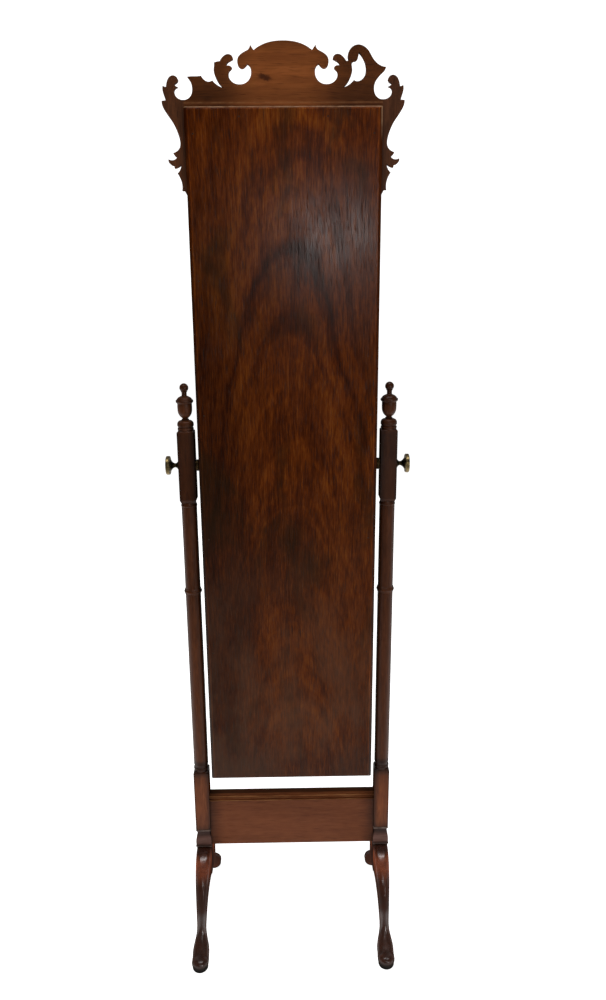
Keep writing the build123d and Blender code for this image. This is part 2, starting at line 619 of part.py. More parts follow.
def build_frame():
    seat = plate_seat()
    cutters = lap_cutters() + fret_screws(GLUE, False) + [seat, flip(seat)]
    cutters += [panel_pin(x, z, GLUE) for x, z in pin_places()]
    stile = frame_member(True)
    top = frame_member(False)
    low = mirror(top, about=Plane.XY.offset((MIRROR_TOP_Z + MIRROR_BOTTOM_Z) / 2))
    members = {"right_stile": stile, "left_stile": flip(stile), "top_rail": top, "bottom_rail": low}
    for name, member in members.items():
        for cutter in cutters:
            member -= cutter
        keep("frame_" + name, member)


def build_mirror():
    build_frame()
    pieces = {"crest": crest(), "right_ear": ear(), "left_ear": flip(ear()), "backboard": backboard()}
    for name, shape in pieces.items():
        cutters = [panel_pin(x, z, GLUE) for x, z in pin_places()]
        if name != "backboard":
            cutters = fret_screws(GLUE, False)
        for cutter in cutters:
            shape -= cutter
        keep(name, shape)
    keep("mirror_glass", looking_glass())
    keep("glass_blocks", glass_blocks())
    keep("backboard_pins", [panel_pin(x, z) for x, z in pin_places()])
    keep("fretwork_screws", fret_screws())
    plate = pivot_plate()
    keep("right_pivot_plate", plate)
    keep("left_pivot_plate", flip(plate))
    keep("plate_screws", plate_screws())
    screw = thumb_screw()
    keep("right_thumb_screw", screw)
    keep("left_thumb_screw", flip(screw))


def write():
    for name, shape in PARTS.items():
        solids = shape if isinstance(shape, list) else shape.solids()
        flat = [s for item in solids for s in item.solids()]
        whole = flat[0] if len(flat) == 1 else Compound(children=flat)
        export_step(whole, f"parts/{name}.step")
        print(name, len(flat), round(sum(s.volume for s in flat)))


build_stand()
build_mirror()
write()
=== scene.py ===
import json
import math

import bpy
from mathutils import Euler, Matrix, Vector


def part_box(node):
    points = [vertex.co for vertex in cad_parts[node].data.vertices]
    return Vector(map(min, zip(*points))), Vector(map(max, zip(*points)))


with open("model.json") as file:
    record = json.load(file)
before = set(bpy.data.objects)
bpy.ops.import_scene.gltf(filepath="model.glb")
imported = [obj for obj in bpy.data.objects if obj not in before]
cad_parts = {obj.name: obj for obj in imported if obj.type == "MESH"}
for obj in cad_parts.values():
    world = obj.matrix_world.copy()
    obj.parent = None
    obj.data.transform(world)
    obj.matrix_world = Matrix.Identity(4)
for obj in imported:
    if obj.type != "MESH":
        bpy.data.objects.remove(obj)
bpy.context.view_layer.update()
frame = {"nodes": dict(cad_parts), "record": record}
NODES = frame["nodes"]


# ---- shader helper -----------------------------------------------------------------------
class Shader:
    """One material and short calls for the nodes it is made of."""

    def __init__(self, name):
        self.mat = bpy.data.materials.new(name)
        self.mat.use_nodes = True
        self.tree = self.mat.node_tree
        self.surface = self.tree.nodes["Principled BSDF"]
        self.coords = self.tree.nodes.new("ShaderNodeTexCoord").outputs["Object"]

    def put(self, socket, value):
        if isinstance(value, bpy.types.NodeSocket):
            self.tree.links.new(value, socket)
        else:
            socket.default_value = value

    def node(self, kind, sockets=(), **settings):
        n = self.tree.nodes.new(kind)
        for key, value in settings.items():
            setattr(n, key, value)
        for key, value in dict(sockets).items():
            self.put(n.inputs[key], value)
        return n

    def math(self, operation, a, b=0.0):
        return self.node("ShaderNodeMath", {0: a, 1: b}, operation=operation).outputs[0]

    def add(self, a, b):
        return self.math("ADD", a, b)

    def times(self, a, b):
        return self.math("MULTIPLY", a, b)

    def spread(self, value, low, high, out_low=0.0, out_high=1.0):
        """Value mapped smoothly from low..high to out_low..out_high, held at the ends."""
        sockets = {"Value": value, "From Min": low, "From Max": high, "To Min": out_low, "To Max": out_high}
        return self.node("ShaderNodeMapRange", sockets, interpolation_type="SMOOTHSTEP").outputs[0]

    def spread_even(self, value, low, high):
        """Value mapped in a straight line from low..high to 0..1."""
        sockets = {"Value": value, "From Min": low, "From Max": high}
        return self.node("ShaderNodeMapRange", sockets).outputs[0]

    def mapped(self, vector, scale=(1, 1, 1), offset=(0, 0, 0), turn=(0, 0, 0)):
        sockets = {"Vector": vector, "Scale": scale, "Location": offset, "Rotation": turn}
        return self.node("ShaderNodeMapping", sockets).outputs[0]

    def noise(self, vector, scale, detail=2.0, rough=0.5, distortion=0.0):
        sockets = {"Vector": vector, "Scale": scale, "Detail": detail}
        sockets |= {"Roughness": rough, "Distortion": distortion}
        return self.node("ShaderNodeTexNoise", sockets).outputs["Fac"]

    def line_noise(self, w, scale, detail):
        sockets = {"W": w, "Scale": scale, "Detail": detail}
        return self.node("ShaderNodeTexNoise", sockets, noise_dimensions="1D").outputs["Fac"]

    def ramp(self, value, stops):
        n = self.node("ShaderNodeValToRGB", {"Fac": value})
        ends = n.color_ramp.elements
        while len(ends) < len(stops):
            ends.new(0.5)
        for element, (place, colour) in zip(ends, stops):
            element.position = place
            element.color = (*colour, 1.0)
        return n.outputs["Color"]

    def mix(self, amount, a, b, blend="MIX"):
        n = self.node("ShaderNodeMix", data_type="RGBA", blend_type=blend, clamp_factor=True)
        self.put(n.inputs[0], amount)
        for socket, value in ((n.inputs[6], a), (n.inputs[7], b)):
            self.put(socket, (*value, 1.0) if isinstance(value, tuple) else value)
        return n.outputs[2]

    def split(self, vector):
        return self.node("ShaderNodeSeparateXYZ", {0: vector}).outputs

    def rounded(self, radius):
        """Normals as if every sharp edge were rounded to this radius."""
        return self.node("ShaderNodeBevel", {"Radius": radius}, samples=4).outputs[0]

    def arris(self, radius):
        """1 along sharp edges, 0 elsewhere: how far a rounded normal leaves the true one."""
        round_normal = self.rounded(radius)
        true_normal = self.node("ShaderNodeNewGeometry").outputs["Normal"]
        dot = self.node("ShaderNodeVectorMath", {0: round_normal, 1: true_normal}, operation="DOT_PRODUCT")
        return self.spread(self.math("SUBTRACT", 1.0, dot.outputs["Value"]), 0.02, 0.3)

    def crevice(self, distance):
        """1 deep in grooves, 0 in the open."""
        ao = self.node("ShaderNodeAmbientOcclusion", {"Distance": distance}, samples=4)
        return self.spread(ao.outputs["AO"], 0.35, 0.95, 1.0, 0.0)

    def scaled(self, colour, factor):
        return self.node("ShaderNodeVectorMath", {0: colour, "Scale": factor}, operation="SCALE").outputs[0]

    def profile(self, value, stops, top):
        """Value read off a curve given as place, height; heights run from 0 to top."""
        first, last = stops[0][0], stops[-1][0]
        levels = [((at - first) / (last - first), (v / top,) * 3) for at, v in stops]
        return self.times(self.ramp(self.spread_even(value, first, last), levels), top)

    def off_grazing(self, level, start, end):
        """A reflection level that dies away where the surface turns edge-on, from start to end."""
        turned = self.node("ShaderNodeLayerWeight", {"Blend": 0.5}).outputs["Facing"]
        return self.times(self.spread(turned, start, end, 1.0, 0.0), level)

    def bump(self, height, strength, **normal):
        sockets = {"Height": height, "Strength": strength, "Distance": BUMP_DEPTH, **normal}
        return self.node("ShaderNodeBump", sockets).outputs[0]

    def finish(self, **values):
        for key, value in values.items():
            self.put(self.surface.inputs[key.replace("_", " ")], value)
        return self.mat


BUMP_DEPTH = 0.0003
ALONG = {"Z": (0, 0, 0), "X": (0, math.pi / 2, 0), "Y": (math.pi / 2, 0, 0)}


def darker(colour, factor):
    return tuple(factor * c for c in colour)


def wood(name, tones, rough, along="Z", seed=0.0, figure=None, contrast=0.5, pores=0.5,
         flecky=0.0, crisp=0.0, wear=(0.22, 0.085, 0.03), wear_amount=0.5, specular=0.4,
         round_edge=0.0007, wear_and_painted_light=None, polish=None, relief=0.3, grazing=(0.45, 0.85)):
    """Polished wood. tones runs dark to light and rough from rubbed to dull; figure adds soft
    arches of growth rings; flecky breaks the stripes up, crisp sharpens the threads of the grain.
    The patina function shades the colour with the dirt and wear of one kind of piece, and for some pieces
    with painted shade, highlights and reflections; polish says where its shine has gone dull, and grazing
    where its reflection fades."""
    s = Shader(name)
    p = s.mapped(s.mapped(s.coords, turn=ALONG[along]), offset=(seed, seed * 0.7, seed * 1.3))
    sway = s.noise(s.mapped(p, (1, 1, 0.3)), 6.0, 2.0)
    drift = s.node("ShaderNodeCombineXYZ", {"X": s.times(s.add(sway, -0.5), 0.03)}).outputs[0]
    grain = s.node("ShaderNodeVectorMath", {0: p, 1: drift}, operation="ADD").outputs[0]
    broad = s.noise(s.mapped(grain, (1, 1, 0.22)), 9.0, 3.0, 0.55, 0.4)
    stripes = s.noise(s.mapped(grain, (1, 1, 0.07)), 75.0, 4.0, 0.62, 0.3)
    fibres = s.noise(s.mapped(grain, (1, 1, 0.05)), 420.0, 3.0, 0.65)
    flecks = s.noise(s.mapped(grain, (1, 1, 0.2)), 190.0, 3.0, 0.6)
    short = s.noise(s.mapped(grain, (1, 1, 0.28)), 130.0, 4.0, 0.7, 0.2)
    tone = s.add(s.times(broad, 0.34), s.times(s.mix(flecky, stripes, short), 0.30))
    tone = s.add(tone, s.add(s.times(fibres, 0.2), s.times(flecks, 0.16)))
    tone = s.add(s.times(s.add(tone, -0.5), 1.0 + 3.0 * contrast), 0.5)
    threads = s.noise(s.mapped(grain, (1, 1, 0.09)), 430.0, 3.0, 0.7)
    tone = s.add(tone, s.times(s.add(threads, -0.5), crisp))
    if figure:
        tone = s.add(tone, s.times(rings(s, figure), figure["depth"]))
    stops = [(i / (len(tones) - 1), t) for i, t in enumerate(tones)]
    colour = s.ramp(s.spread(tone, 0.0, 1.0), stops)
    pore = s.spread(s.noise(s.mapped(grain, (1, 1, 0.04)), 820.0, 1.0, 0.5), 0.58, 0.70)
    colour = s.mix(s.times(pore, 0.7 * pores), colour, darker(tones[0], 0.22))
    patchy = s.noise(s.coords, 26.0, 3.0, 0.6)
    edge = s.times(s.arris(0.0015), s.spread(patchy, 0.35, 0.62, 0.2, 1.0))
    colour = s.mix(s.times(edge, wear_amount), colour, wear)
    colour = s.mix(s.times(s.crevice(0.006), 0.8), colour, darker(tones[0], 0.12))
    if wear_and_painted_light:
        colour = wear_and_painted_light(s, colour)
    smear = s.noise(s.mapped(s.coords, (1, 1, 0.6), offset=(3, 1, 2)), 9.0, 4.0, 0.62, 0.8)
    gloss = s.spread(s.add(s.times(smear, 0.7), s.times(fibres, 0.3)), 0.34, 0.66, *rough)
    gloss = s.add(gloss, s.add(s.times(edge, 0.08), s.times(pore, 0.12)))
    height = s.add(s.add(s.times(fibres, 0.4), s.times(threads, 0.4)), s.times(pore, -0.6))
    height = s.add(height, s.times(stripes, 0.2))
    surface = s.bump(height, relief, Normal=s.rounded(round_edge))
    shine = s.off_grazing(specular, *grazing)
    if polish:
        shine = s.times(shine, polish(s))
    return s.finish(Base_Color=colour, Roughness=gloss, Normal=surface, Specular_IOR_Level=shine)


def rings(s, figure):
    """Growth rings sawn through their tops: soft dark arches, each given by height and depth."""
    x, _, z = s.split(s.coords)
    wander = s.noise(s.mapped(s.coords, (1, 1, 0.5)), 4.5, 3.0, 0.55)
    side = s.add(s.add(x, -figure["x"]), s.times(s.add(wander, -0.5), 0.09))
    steep = s.spread(z, 1.40, 1.62, figure["steep"], 0.45 * figure["steep"])
    arch = s.add(z, s.times(s.times(side, side), steep))
    ripple = s.noise(s.mapped(s.coords, (1, 1, 0.8)), 22.0, 4.0, 0.62)
    arch = s.add(arch, s.times(s.add(ripple, -0.5), 0.07))
    low, high = figure["bands"][0][0], figure["bands"][-1][0]
    place = s.spread_even(arch, low, high)
    stops = [((h - low) / (high - low), (v, v, v)) for h, v in figure["bands"]]
    bands = s.ramp(place, stops)
    fine = s.add(s.line_noise(arch, 26.0, 3.0), -0.5)
    fade = s.spread(s.math("ABSOLUTE", side), 0.05, 0.17, 1.0, 0.45)
    return s.times(s.add(s.add(bands, -0.5), s.times(fine, figure["fine"])), fade)


def post_tone_and_painted_shade(s, colour):
    """Lower block lighter and head block darker, darker on the collars and towards the sides; painted shade
    on the inner side, towards the board.
    """
    lo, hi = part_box("right_post")
    x, _, z = s.split(s.coords)
    half = (hi.x - lo.x) / 2
    across = s.times(s.add(s.math("ABSOLUTE", x), -(hi.x + lo.x) / 2), 1 / half)
    height = s.profile(z, [
        (0.226, 1.3), (0.240, 2.6), (0.275, 3.3), (0.330, 3.1), (0.352, 2.2), (0.363, 0.7),
        (0.386, 0.45), (0.394, 1.45), (0.62, 1.55), (0.93, 1.2), (0.955, 0.80), (1.06, 0.72),
        (1.085, 0.7), (1.093, 1.2), (1.10, 0.9), (1.13, 1.5), (1.145, 0.9), (1.18, 0.8),
    ], 3.4)
    side = s.spread(s.math("ABSOLUTE", across), 0.5, 1.0, 1.0, 0.38)
    # painted shade: the inner side of the post, towards the board, darkened as if in the board's shadow
    painted_inner_shade = s.spread(across, -0.85, -0.1, 0.5, 1.0)
    warm = s.spread(z, 0.350, 0.390, 1.0, 0.0)
    colour = s.mix(warm, colour, (1.0, 0.92, 0.76), "MULTIPLY")
    return s.scaled(colour, s.times(height, s.times(side, painted_inner_shade)))


def leg_tone_and_painted_light(s, colour):
    """Knee painted bright and red as if lit from above, shin greyed by a painted reflection of the pale
    floor, pad foot near-black at the bottom.
    """
    z = s.split(s.coords)[2]
    # painted light: the top of the knee made several times brighter than the shin
    level = s.profile(z, [
        (0.0, 0.35), (0.010, 0.6), (0.022, 1.6), (0.055, 1.3), (0.110, 0.9), (0.140, 1.2),
        (0.152, 2.7), (0.160, 3.9), (0.172, 3.9), (0.180, 0.9), (0.190, 0.5),
    ], 4.0)
    colour = s.scaled(colour, level)
    # painted reflection: down the shin the colour is pulled towards grey, as if mirroring the pale floor
    cloud = s.noise(s.coords, 55.0, 3.0, 0.6)
    dull = s.times(s.spread(z, 0.125, 0.158, 1.0, 0.0), s.spread(cloud, 0.3, 0.7, 0.45, 0.75))
    colour = s.mix(dull, colour, (0.042, 0.025, 0.020))
    return s.mix(s.spread(z, 0.008, 0.022, 0.85, 0.0), colour, (0.014, 0.015, 0.014))


def leg_polish(s):
    """Shine left on the knee, the ankle and the top of the foot."""
    z = s.split(s.coords)[2]
    return s.profile(z, [
        (0.0, 0.0), (0.014, 0.05), (0.022, 0.9), (0.034, 1.0), (0.040, 0.3), (0.048, 0.35),
        (0.056, 1.0), (0.082, 1.0), (0.094, 0.15), (0.135, 0.15), (0.148, 1.0), (0.190, 1.0),
    ], 1.0)


def neck_painted_light(s, colour):
    """Painted shade in the hollow of the moulding and at its foot, painted highlights as pale broken lines
    on its fillets.
    """
    z = s.split(s.coords)[2]
    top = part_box("right_post")[0].z
    # painted shade: darker in the hollow under the top fillet and at the foot of the neck
    painted_hollow_shade = s.profile(z, [
        (top - 0.046, 0.30), (top - 0.038, 0.55), (top - 0.034, 1.1), (top - 0.022, 1.15),
        (top - 0.014, 0.5), (top - 0.005, 0.35), (top, 0.5),
    ], 1.2)
    colour = s.scaled(colour, painted_hollow_shade)
    # painted highlights: thin pale lines along the bottom and top fillets
    line = s.profile(z, [
        (top - 0.045, 0.0), (top - 0.0425, 0.9), (top - 0.040, 0.0), (top - 0.0055, 0.0),
        (top - 0.0035, 1.0), (top - 0.0015, 0.2),
    ], 1.0)
    patchy = s.spread(s.noise(s.coords, 90.0, 3.0), 0.35, 0.6, 0.35, 0.9)
    return s.mix(s.times(line, patchy), colour, (0.30, 0.22, 0.18))


def crest_patina(s, colour):
    """Brightest in the middle of the crest, with one dark stain and a rubbed lower edge."""
    lo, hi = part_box("crest")
    x, _, z = s.split(s.coords)
    middle = s.spread(s.math("ABSOLUTE", s.add(x, -0.002)), 0.035, 0.115, 1.0, 0.40)
    rise = s.profile(z, [
        (lo.z + 0.010, 0.95), (lo.z + 0.017, 1.05), (lo.z + 0.024, 0.72), (lo.z + 0.040, 0.85),
        (lo.z + 0.062, 1.1), (lo.z + 0.095, 0.95), (hi.z, 0.72),
    ], 1.2)
    colour = s.scaled(colour, s.times(middle, rise))
    speckle = s.noise(s.coords, 150.0, 3.0)
    rubbed = s.profile(z, [(lo.z + 0.0165, 0.0), (lo.z + 0.0185, 0.8), (lo.z + 0.0205, 0.0)], 1.0)
    rubbed = s.times(rubbed, s.spread(speckle, 0.3, 0.75, 0.25, 0.6))
    colour = s.mix(rubbed, colour, (0.34, 0.15, 0.060))
    wander = s.times(s.add(speckle, -0.5), 0.010)
    off = s.add(x, -(lo.x + hi.x) / 2 - 0.033)
    line = s.add(s.add(z, wander), s.times(off, -0.28))
    dx = s.times(off, 1 / 0.0135)
    dz = s.times(s.add(line, -(lo.z + 0.057)), 1 / 0.0046)
    reach = s.math("SQRT", s.add(s.times(dx, dx), s.times(dz, dz)))
    return s.mix(s.spread(reach, 0.35, 1.25, 0.85, 0.0), colour, (0.035, 0.009, 0.003))


def board_tone_and_painted_light(s, colour):
    """Darker towards the +X side, smoky in clouds, greyed low down by a painted reflection of the floor,
    with painted highlights along its upper arris and inside its sloping side edges."""
    lo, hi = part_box("backboard")
    x, _, z = s.split(s.coords)
    shade = s.spread(x, hi.x - 0.15, hi.x - 0.02, 0.0, 0.42)
    shade = s.times(shade, s.spread(z, 1.35, 1.58, 1.0, 0.35))
    light = s.spread(z, 1.42, 1.60, 1.0, 1.17)
    colour = s.scaled(colour, s.times(light, s.math("SUBTRACT", 1.0, shade)))
    smoke = s.noise(s.mapped(s.coords, (1, 1, 0.45), offset=(0.3, 0, 0.2)), 9.0, 5.0, 0.62, 0.5)
    colour = s.mix(s.spread(smoke, 0.50, 0.66, 0.0, 0.6), colour, (0.020, 0.0090, 0.0024))
    # painted reflection: low on the board the colour clouds towards a pale grey-brown, as if mirroring the
    # bright floor
    cloud = s.noise(s.mapped(s.coords, (1, 1, 0.5)), 14.0, 4.0, 0.6)
    haze = s.times(s.spread(z, 0.50, 1.0, 1.0, 0.0), s.spread(cloud, 0.3, 0.65, 0.05, 0.40))
    colour = s.mix(haze, colour, (0.130, 0.064, 0.036))
    low_edge = s.spread(z, lo.z, lo.z + 0.12, 0.68, 1.0)
    colour = s.scaled(colour, low_edge)
    # painted highlight: a pale line along the inner arris of each sloping side edge; the slope itself
    # darker
    edge = s.math("MINIMUM", s.add(x, -lo.x), s.math("SUBTRACT", hi.x, x))
    colour = s.scaled(colour, s.profile(edge, [
        (0.0, 0.6), (0.0040, 0.65), (0.0052, 1.0), (0.0060, 1.5), (0.0072, 1.4), (0.0086, 1.0),
    ], 1.5))
    # painted highlights: pale speckled lines on the upper arris and at the top of the -X side edge
    painted_top_highlight = s.spread(z, hi.z - 0.0028, hi.z - 0.0016, 0.0, 1.0)
    painted_corner_highlight = s.spread(x, lo.x + 0.0020, lo.x + 0.0034, 1.0, 0.0)
    painted_corner_highlight = s.times(painted_corner_highlight, s.spread(z, hi.z - 0.06, hi.z - 0.02, 0.0, 1.0))
    speckle = s.spread(s.noise(s.coords, 90.0, 3.0), 0.3, 0.7, 0.4, 0.9)
    return s.mix(s.times(s.math("MAXIMUM", painted_top_highlight, painted_corner_highlight), speckle), colour, (0.30, 0.165, 0.088))


def board_polish(s):
    """The board's sloping upper edge is dull."""
    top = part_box("backboard")[1].z
    return s.spread(s.split(s.coords)[2], top - 0.0065, top - 0.0050, 1.0, 0.1)


def rail_darker_ends(s, colour):
    """Darker at the ends of the rail, next to the posts."""
    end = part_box("rail_moulding")[1].x
    x = s.split(s.coords)[0]
    return s.scaled(colour, s.spread(s.math("ABSOLUTE", x), end - 0.035, end, 1.0, 0.5))


def cap_painted_light(s, colour):
    """Rail moulding: painted highlights on its beads and shoulder, broken up in rubbed patches, and painted
    shade on the back of its top, next to the board towards the glass side."""
    lo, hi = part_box("rail_moulding")
    _, y, z = s.split(s.coords)
    # painted highlights: pale lines on the lower beads and along the shoulder's upper edge
    beads = s.profile(z, [
        (lo.z, 0.1), (lo.z + 0.0014, 0.9), (lo.z + 0.0026, 0.8), (lo.z + 0.0036, 0.0),
        (lo.z + 0.0064, 0.0), (lo.z + 0.0078, 0.6), (lo.z + 0.0092, 0.35), (lo.z + 0.0116, 0.5),
        (lo.z + 0.0128, 1.0), (lo.z + 0.0140, 0.2),
    ], 1.0)
    rubbed = s.noise(s.mapped(s.coords, (0.25, 1, 1)), 60.0, 4.0, 0.65)
    painted_bead_highlight = s.times(beads, s.spread(rubbed, 0.36, 0.62, 0.25, 0.85))
    colour = s.mix(painted_bead_highlight, colour, (0.29, 0.125, 0.048))
    # painted shade: the back of the top, next to the board, darkened; the rest of the moulding lightened a
    # little
    painted_board_shade = s.spread(z, hi.z - 0.0016, hi.z - 0.0004)
    painted_board_shade = s.times(painted_board_shade, s.spread(y, hi.y - 0.0115, hi.y - 0.0065, 1.0, 0.0))
    return rail_darker_ends(s, s.scaled(colour, s.spread(painted_board_shade, 0.0, 1.0, 1.15, 0.45)))


def screw_dark_neck(s, colour):
    """Neck of the thumb-screw dark, next to the post; its disc bright."""
    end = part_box("right_thumb_screw")[1].x
    out = s.math("ABSOLUTE", s.split(s.coords)[0])
    return s.scaled(colour, s.spread(out, end - 0.0115, end - 0.0075, 0.22, 1.0))


METAL_GRIME = (0.02, 0.014, 0.008)


def metal(name, clean, dull, rough, seed=0.0, wear_and_painted_light=None):
    """Old handled brass or steel: bright on the edges, brown in the hollows."""
    s = Shader(name)
    p = s.mapped(s.coords, offset=(seed, seed, 0))
    cloud = s.noise(p, 60.0, 5.0, 0.62, 0.6)
    spots = s.spread(s.noise(p, 420.0, 3.0, 0.6), 0.56, 0.72)
    polish = s.arris(0.0012)
    colour = s.mix(s.spread(cloud, 0.32, 0.68), clean, dull)
    colour = s.mix(s.times(spots, 0.5), colour, METAL_GRIME)
    colour = s.mix(s.times(polish, 0.5), colour, tuple(1.2 * c for c in clean))
    colour = s.mix(s.times(s.crevice(0.004), 0.85), colour, METAL_GRIME)
    if wear_and_painted_light:
        colour = wear_and_painted_light(s, colour)
    gloss = s.add(s.spread(cloud, 0.3, 0.7, *rough), s.times(spots, 0.18))
    rub = s.noise(s.mapped(p, (0.05, 1, 1)), 900.0, 2.0)
    dents = s.bump(s.add(s.times(rub, 0.3), s.times(cloud, 0.7)), 0.25)
    return s.finish(Base_Color=colour, Metallic=1.0, Roughness=gloss, Normal=dents)


def silvering(name):
    """Old looking glass: clear plate over silver, with faint foxing towards the rim."""
    s = Shader(name)
    lo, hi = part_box("mirror_glass")
    x, _, z = s.split(s.coords)
    middle = (lo + hi) / 2
    half = (hi - lo) / 2
    across = s.math("DIVIDE", s.math("ABSOLUTE", s.add(x, -middle.x)), half.x)
    rise = s.math("ABSOLUTE", s.add(z, -middle.z))
    up = s.math("DIVIDE", s.math("SUBTRACT", rise, half.z - half.x), half.x)
    rim = s.spread(s.math("MAXIMUM", across, up), 0.86, 1.02)
    bloom = s.noise(s.coords, 70.0, 5.0, 0.65, 0.5)
    fox = s.times(rim, s.spread(bloom, 0.5, 0.66))
    colour = s.mix(s.times(fox, 0.55), (0.86, 0.88, 0.87), (0.30, 0.26, 0.20))
    haze = s.spread(s.noise(s.coords, 8.0, 4.0, 0.6), 0.3, 0.7, 0.015, 0.05)
    gloss = s.add(haze, s.times(fox, 0.3))
    return s.finish(Base_Color=colour, Metallic=1.0, Roughness=gloss)


# ---- materials ---------------------------------------------------------------------------
# The backboard's arches: height of each on its middle line, and its tone from dark 0 to light 1.
ARCHES = [
    (0.35, 0.50), (0.70, 0.56), (0.92, 0.42), (1.02, 0.56), (1.12, 0.40), (1.20, 0.62),
    (1.30, 0.48), (1.365, 0.66), (1.39, 0.34), (1.425, 0.12), (1.455, 0.56), (1.53, 0.68),
    (1.58, 0.42), (1.64, 0.66), (1.76, 0.38), (1.86, 0.64), (2.0, 0.45), (2.2, 0.6),
]
FRAME_TONES = [(0.022, 0.0062, 0.0028), (0.060, 0.0170, 0.0062), (0.110, 0.033, 0.0115)]
WOODS = {
    "figured_mahogany": {
        "tones": [
            (0.020, 0.0036, 0.0005), (0.060, 0.0110, 0.0010), (0.120, 0.0245, 0.0018),
            (0.215, 0.055, 0.0060),
        ],
        "rough": (0.18, 0.28), "contrast": 0.5, "pores": 0.95, "flecky": 0.3, "crisp": 0.75,
        "figure": {"x": -0.008, "steep": 19.0, "bands": ARCHES, "fine": 0.5, "depth": 0.66},
        "specular": 0.12, "wear_amount": 0.25, "wear_and_painted_light": board_tone_and_painted_light, "polish": board_polish,
    },
    "fretwork_mahogany": {
        "tones": [(0.120, 0.032, 0.0080), (0.250, 0.072, 0.0170), (0.370, 0.118, 0.0310)],
        "rough": (0.36, 0.5), "along": "X", "seed": 0.37, "contrast": 0.18, "pores": 0.7,
        "specular": 0.08, "wear_amount": 0.2, "wear_and_painted_light": crest_patina,
    },
    "ear_mahogany": {
        "tones": [(0.040, 0.014, 0.0055), (0.092, 0.031, 0.0120), (0.155, 0.053, 0.0200)],
        "rough": (0.36, 0.5), "seed": 0.91, "specular": 0.1, "wear_amount": 0.35,
    },
    "post_mahogany": {
        "tones": [(0.024, 0.0064, 0.0024), (0.056, 0.0160, 0.0052), (0.100, 0.031, 0.0105)],
        "rough": (0.26, 0.38), "seed": 1.7, "contrast": 0.4, "flecky": 0.4,
        "specular": 0.14, "wear_amount": 0.3, "wear_and_painted_light": post_tone_and_painted_shade,
    },
    "block_mahogany": {
        "tones": [(0.050, 0.0210, 0.0150), (0.110, 0.0500, 0.0370), (0.170, 0.0820, 0.0620)],
        "rough": (0.3, 0.42), "along": "X", "seed": 2.3,
        "specular": 0.16, "wear_amount": 0.2, "wear_and_painted_light": neck_painted_light,
    },
    "leg_mahogany": {
        "tones": [(0.020, 0.0062, 0.0034), (0.048, 0.0130, 0.0062), (0.090, 0.0230, 0.0095)],
        "rough": (0.17, 0.25), "seed": 3.1, "pores": 0.2, "relief": 0.05, "round_edge": 0.0012,
        "specular": 0.6, "wear_amount": 0.2, "wear_and_painted_light": leg_tone_and_painted_light, "polish": leg_polish,
        "grazing": (0.25, 0.55),
    },
    "rail_mahogany": {
        "tones": [(0.090, 0.0225, 0.0065), (0.162, 0.0450, 0.0140), (0.225, 0.068, 0.0235)],
        "rough": (0.34, 0.46), "along": "X", "seed": 4.4, "contrast": 0.35, "flecky": 0.4,
        "specular": 0.1, "wear_and_painted_light": rail_darker_ends,
    },
    "cap_mahogany": {
        "tones": [(0.055, 0.0135, 0.0040), (0.105, 0.0275, 0.0085), (0.160, 0.046, 0.0150)],
        "rough": (0.42, 0.55), "along": "X", "seed": 4.9,
        "specular": 0.015, "wear_amount": 0.2, "wear_and_painted_light": cap_painted_light,
    },
    "frame_mahogany": {"tones": FRAME_TONES, "rough": (0.22, 0.36), "seed": 5.2},
    "frame_mahogany_level": {"tones": FRAME_TONES, "rough": (0.22, 0.36), "seed": 6.2, "along": "X"},
    "softwood": {
        "tones": [(0.28, 0.17, 0.08), (0.42, 0.28, 0.15), (0.52, 0.37, 0.22)],
        "rough": (0.6, 0.75), "seed": 7.0, "wear": (0.5, 0.36, 0.2),
    },
    "dowel_beech": {
        "tones": [(0.36, 0.24, 0.13), (0.48, 0.34, 0.2), (0.56, 0.42, 0.27)],
        "rough": (0.6, 0.75), "along": "Y", "seed": 8.0, "wear": (0.5, 0.4, 0.26),
    },
}
METALS = {
    "aged_brass": {
        "clean": (0.27, 0.198, 0.090), "dull": (0.14, 0.104, 0.048), "rough": (0.32, 0.48),
        "wear_and_painted_light": screw_dark_neck,
    },
    "plate_brass": {
        "clean": (0.075, 0.046, 0.020), "dull": (0.030, 0.018, 0.009), "rough": (0.4, 0.55),
        "seed": 0.4,
    },
    "pin_steel": {
        "clean": (0.060, 0.040, 0.028), "dull": (0.030, 0.018, 0.012), "rough": (0.5, 0.7),
        "seed": 1.0,
    },
    "screw_steel": {
        "clean": (0.42, 0.38, 0.32), "dull": (0.2, 0.16, 0.12), "rough": (0.35, 0.55),
        "seed": 2.0,
    },
}
looks = {name: wood(name, **kind) for name, kind in WOODS.items()}
looks |= {name: metal(name, **kind) for name, kind in METALS.items()}
looks["silvered_glass"] = silvering("silvered_glass")

# Nodes whose look is more particular than their material in the record.
OWN_LOOK = {
    "left_ear": "ear_mahogany", "right_ear": "ear_mahogany",
    "left_foot_block": "block_mahogany", "right_foot_block": "block_mahogany",
    "rail_moulding": "cap_mahogany",
    "left_pivot_plate": "plate_brass", "right_pivot_plate": "plate_brass", "plate_screws": "plate_brass",
    "frame_top_rail": "frame_mahogany_level", "frame_bottom_rail": "frame_mahogany_level",
}


def dress():
    """Gives every CAD node its material."""
    for part in frame["record"]["subparts"]:
        node = part["node"]
        data = NODES[node].data
        data.materials.clear()
        data.materials.append(looks[OWN_LOOK.get(node, part["material_slot"])])


dress()


# ---- stage, light and camera -------------------------------------------------------------
FLOOR_SIZE = 40.0
FLOOR_GLOW = 0.98
SKY_SEEN = 1.6
ROOM_GLASS_SIDE = 8.0
ROOM_BOARD_SIDE = 0.06
LENS = 27.59
SENSOR = 36.0
CAMERA_AT = (-0.0077, 1.4301, 1.3316)
CAMERA_TURN = (75.175, 0.387, 179.066)


